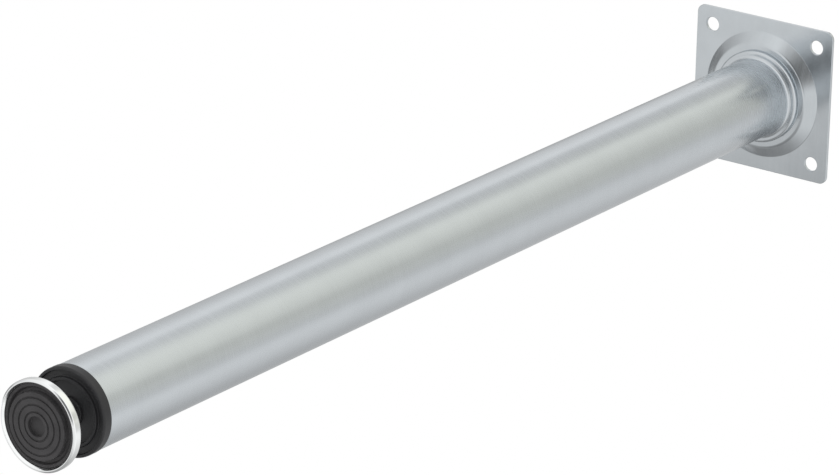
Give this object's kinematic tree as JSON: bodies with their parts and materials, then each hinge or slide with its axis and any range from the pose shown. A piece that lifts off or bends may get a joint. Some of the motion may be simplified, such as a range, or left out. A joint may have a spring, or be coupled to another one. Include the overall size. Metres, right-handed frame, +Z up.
{
  "type": "table leg",
  "caption": "Round steel table leg with a square screw-on mounting plate crimped to its top and a screw-adjusted foot with a rubber tread below.",
  "frame": {"origin": "centre of the sole on the floor, with the foot set as modelled", "axes": "+Z up the tube to the mounting plate; X and Y along the plate's sides"},
  "size_m": [0.1, 0.1, 0.71],
  "materials": {
    "plate_zinc": "zinc-plated pressed sheet, satin, with faint rolling marks",
    "tube_zinc": "zinc-plated tube, finely brushed round its girth",
    "insert_plastic": "black moulded polyethylene, faint moulding texture",
    "nut_steel": "plain zinc-plated nut",
    "spindle_steel": "zinc-plated threaded rod",
    "cup_zinc": "bright zinc plating on a pressed rim",
    "pad_rubber": "black moulded rubber, slightly rough"
  },
  "bodies": {
    "leg": {"mounting_plate": "plate_zinc", "leg_tube": "tube_zinc", "tube_insert": "insert_plastic", "insert_nut": "nut_steel"},
    "spindle": {"foot_spindle": "spindle_steel"},
    "foot": {"foot_cup": "cup_zinc", "sole_pad": "pad_rubber"}
  },
  "joints": [
    {"name": "foot_height", "type": "slide", "parent": "leg", "child": "spindle", "axis": [0, 0, 1], "range_m": [-0.0075, 0.0165]},
    {"name": "foot_turn", "type": "hinge", "parent": "spindle", "child": "foot", "pos_m": [0, 0, 0], "axis": [0, 0, 1], "range_deg": [-1800, 3960]}
  ],
  "couplings": [
    {"joint": "foot_turn", "follows": "foot_height", "rad_per_m": 4188.8}
  ]
}
